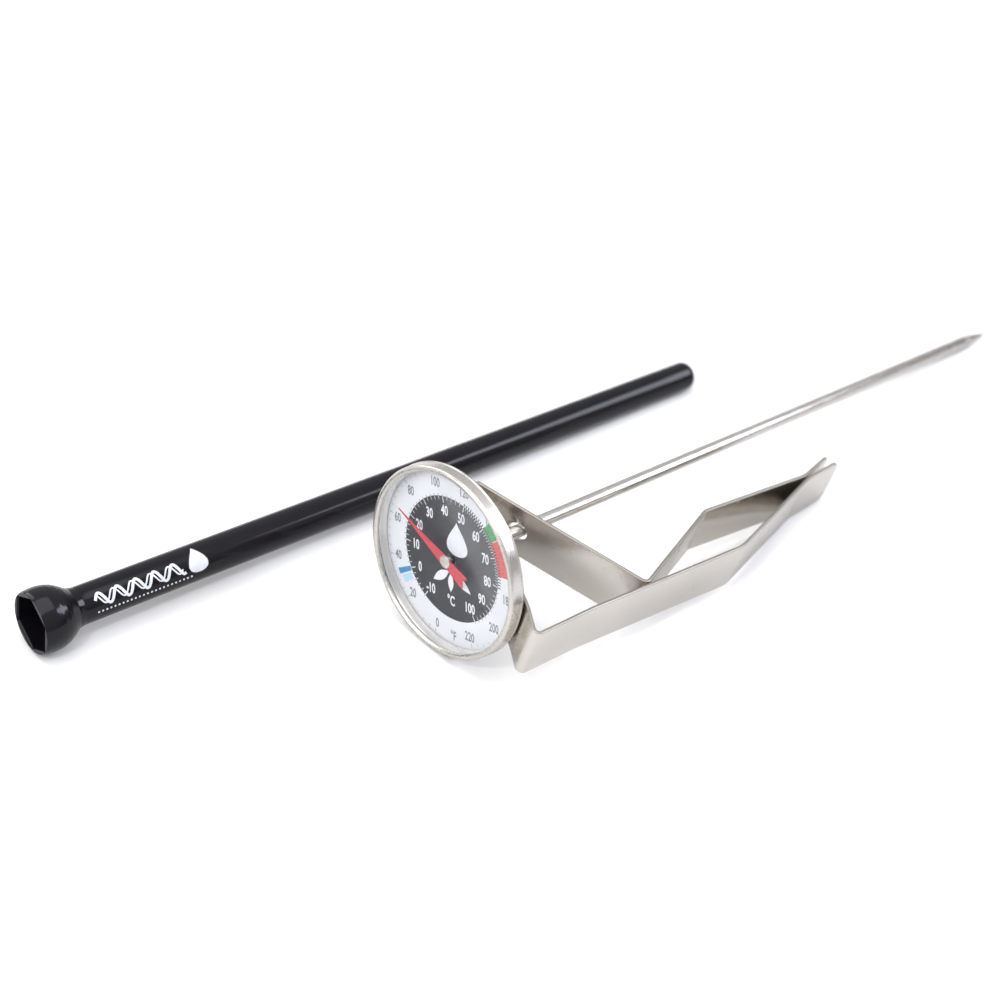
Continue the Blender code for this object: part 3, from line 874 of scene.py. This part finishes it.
def wrapped(name, shapes, mat):
    """Flat print wrapped on the tube: x from the mouth, y round the tube from its midline."""
    parts = []
    for i, loops in enumerate(shapes):
        mesh = flat_mesh(name + str(i), loops, 0.0, 0.01)
        bm = bmesh.new()
        bm.from_mesh(mesh)
        for _ in range(2):
            long_edges = [e for e in bm.edges if e.calc_length() > 0.9 * MM]
            if long_edges:
                bmesh.ops.subdivide_edges(bm, edges=long_edges, cuts=1)
        bmesh.ops.triangulate(bm, faces=bm.faces)
        for v in bm.verts:
            x, y, height = v.co.x / MM, v.co.y / MM, v.co.z / MM
            r = tail_radius(x) + PRINT_LIFT + height
            a = math.radians(PRINT_ANGLE) + y / tail_radius(x)
            v.co = (r * math.cos(a) * MM, -r * math.sin(a) * MM, x * MM)
        bm.to_mesh(mesh)
        bm.free()
        parts.append(mesh)
    put(name, join(name, parts), SHEATH, mat, "sheath")


def wave(count, start, middle, height, phase):
    step, pitch = 0.30, 1.35       # mm between points, radians per mm
    return [(start + step * i, middle + height * math.sin(step * i * pitch + phase))
            for i in range(count)]


thick_wave = wave(count=76, start=13.9, middle=0.0, height=1.45, phase=0.0)
thin_wave = wave(count=72, start=14.5, middle=0.1, height=1.25, phase=2.3)
graphics = [[ribbon(thick_wave, width=0.66)], [ribbon(thin_wave, width=0.36)]]
graphics += [[circle(0.25, 12, cx=14.2 + 1.02 * i, cy=-2.75)] for i in range(24)]
graphics += [[drop(39.8, 0.75, size=6.0)]]
wrapped("sheath_print", graphics, sheath_ink)

# ---- CAD nodes that keep their shape --------------------------------------------------
KEPT_NODES = {
    "retaining_ring": nut_steel, "friction_washer": brass, "dial_support_ring": brass,
    "coil_anchor": brass, "coil_collar": brass, "pointer_shaft": stem_steel,
    "upper_bush": guide_plastic, "middle_guide": guide_plastic, "lower_bush": guide_plastic,
    "bimetal_coil": bimetal,
}
for node_name, mat in KEPT_NODES.items():
    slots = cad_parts[node_name].data.materials
    slots.clear()
    slots.append(mat)


# ---- stage, light, camera, in metres --------------------------------------------------
def floor_paper():
    """White to the camera; weaker as a bounce and in reflections, like a small sheet."""
    m = material_nodes("floor_paper")
    grain = m.noise(scale=300.0, detail=3.0, rough=0.5)
    paper = m.blend(m.remap(grain, span=(0.3, 0.7)), (0.845, 0.845, 0.84), (0.86, 0.86, 0.855))
    seen = m.new("ShaderNodeLightPath").outputs["Is Camera Ray"]
    m.principled(Base_Color=m.blend(seen, (0.64, 0.64, 0.635), paper), Roughness=0.6,
                 Specular_IOR_Level=0.2)
    return m.owner


def build_floor():
    bm = bmesh.new()
    bmesh.ops.create_grid(bm, x_segments=2, y_segments=2, size=4.0)
    floor = bpy.data.objects.new("floor", new_mesh("floor", bm))
    floor.location = (0, 0, -0.0001)
    link_object(floor)
    floor.data.materials.append(floor_paper())


def build_world():
    """White to the camera. Else a pale room, dark and warm low down on +Y, except towards -X."""
    world = bpy.data.worlds.new("studio")
    bpy.context.scene.world = world
    m = Nodes(world)
    background = m.tree.nodes["Background"]
    path = m.new("ShaderNodeLightPath")
    where = m.new("ShaderNodeTexCoord")
    split = m.new("ShaderNodeSeparateXYZ")
    m.link(where.outputs["Generated"], split.inputs[0])
    ramp = m.new("ShaderNodeValToRGB")
    low, high = ramp.color_ramp.elements
    low.position, low.color = 0.0, (0.56, 0.55, 0.54, 1)
    high.position, high.color = 0.75, (0.78, 0.78, 0.80, 1)
    m.link(split.outputs["Z"], ramp.inputs[0])
    behind = m.remap(split.outputs["Y"], span=(0.05, 0.65))
    near_floor = m.remap(split.outputs["Z"], span=(0.42, 0.15))
    dark = m.maths("MULTIPLY", behind, near_floor)
    off_left = m.remap(split.outputs["X"], span=(-0.45, -0.15))
    dark = m.maths("MULTIPLY", dark, off_left)
    room = m.blend(dark, ramp.outputs[0], (0.150, 0.130, 0.110))
    colour = m.blend(path.outputs["Is Camera Ray"], room, (1.0, 1.0, 1.0))
    m.link(colour, background.inputs[0])
    background.inputs[1].default_value = 1.0


def softbox(name, place, aim, size, watts, colour=(1, 1, 1)):
    data = bpy.data.lights.new(name, "AREA")
    data.shape = "RECTANGLE"
    data.size, data.size_y = size
    data.energy = watts
    data.color = colour
    lamp = bpy.data.objects.new(name, data)
    lamp.location = place
    lamp.rotation_euler = (Vector(aim) - Vector(place)).to_track_quat("-Z", "Y").to_euler()
    link_object(lamp)


def build_camera():
    data = bpy.data.cameras.new("camera")
    data.lens = 108.0
    data.sensor_width = 36.0
    data.clip_start = 0.01
    data.dof.use_dof = True
    data.dof.focus_object = bpy.data.objects["bezel_ring"]
    data.dof.aperture_fstop = 14.0
    camera = bpy.data.objects.new("camera", data)
    place = (0.354565, -0.402515, 0.442992)
    right = Vector((0.675480, 0.732763, 0.082369))
    down = Vector((0.513369, -0.387145, -0.765879))
    ahead = Vector((-0.529319, 0.559622, -0.637687))
    basis = Matrix((right, -down, -ahead)).transposed().to_4x4()
    camera.matrix_world = Matrix.Translation(place) @ basis
    link_object(camera)
    bpy.context.scene.camera = camera
    bpy.context.scene.view_settings.view_transform = "Standard"


build_floor()
build_world()
softbox("top_box", place=(0.0, -0.1, 1.3), aim=(0, 0, 0), size=(1.3, 1.3), watts=10.0)
softbox("back_right_box", place=(0.55, 0.75, 0.72), aim=(0, 0.02, 0), size=(0.58, 0.5),
        watts=8.0, colour=(0.84, 0.86, 1.0))
softbox("left_box", place=(-1.0, -0.1, 0.6), aim=(0, 0, 0), size=(0.5, 0.9), watts=3.4)
softbox("front_box", place=(-0.35, -1.1, 0.55), aim=(0, -0.05, 0.02), size=(1.0, 0.6),
        watts=6.0)
softbox("spot_box", place=(0.28, -0.75, 0.95), aim=(-0.03, -0.12, 0.01), size=(0.022, 0.022),
        watts=2.2)
build_camera()
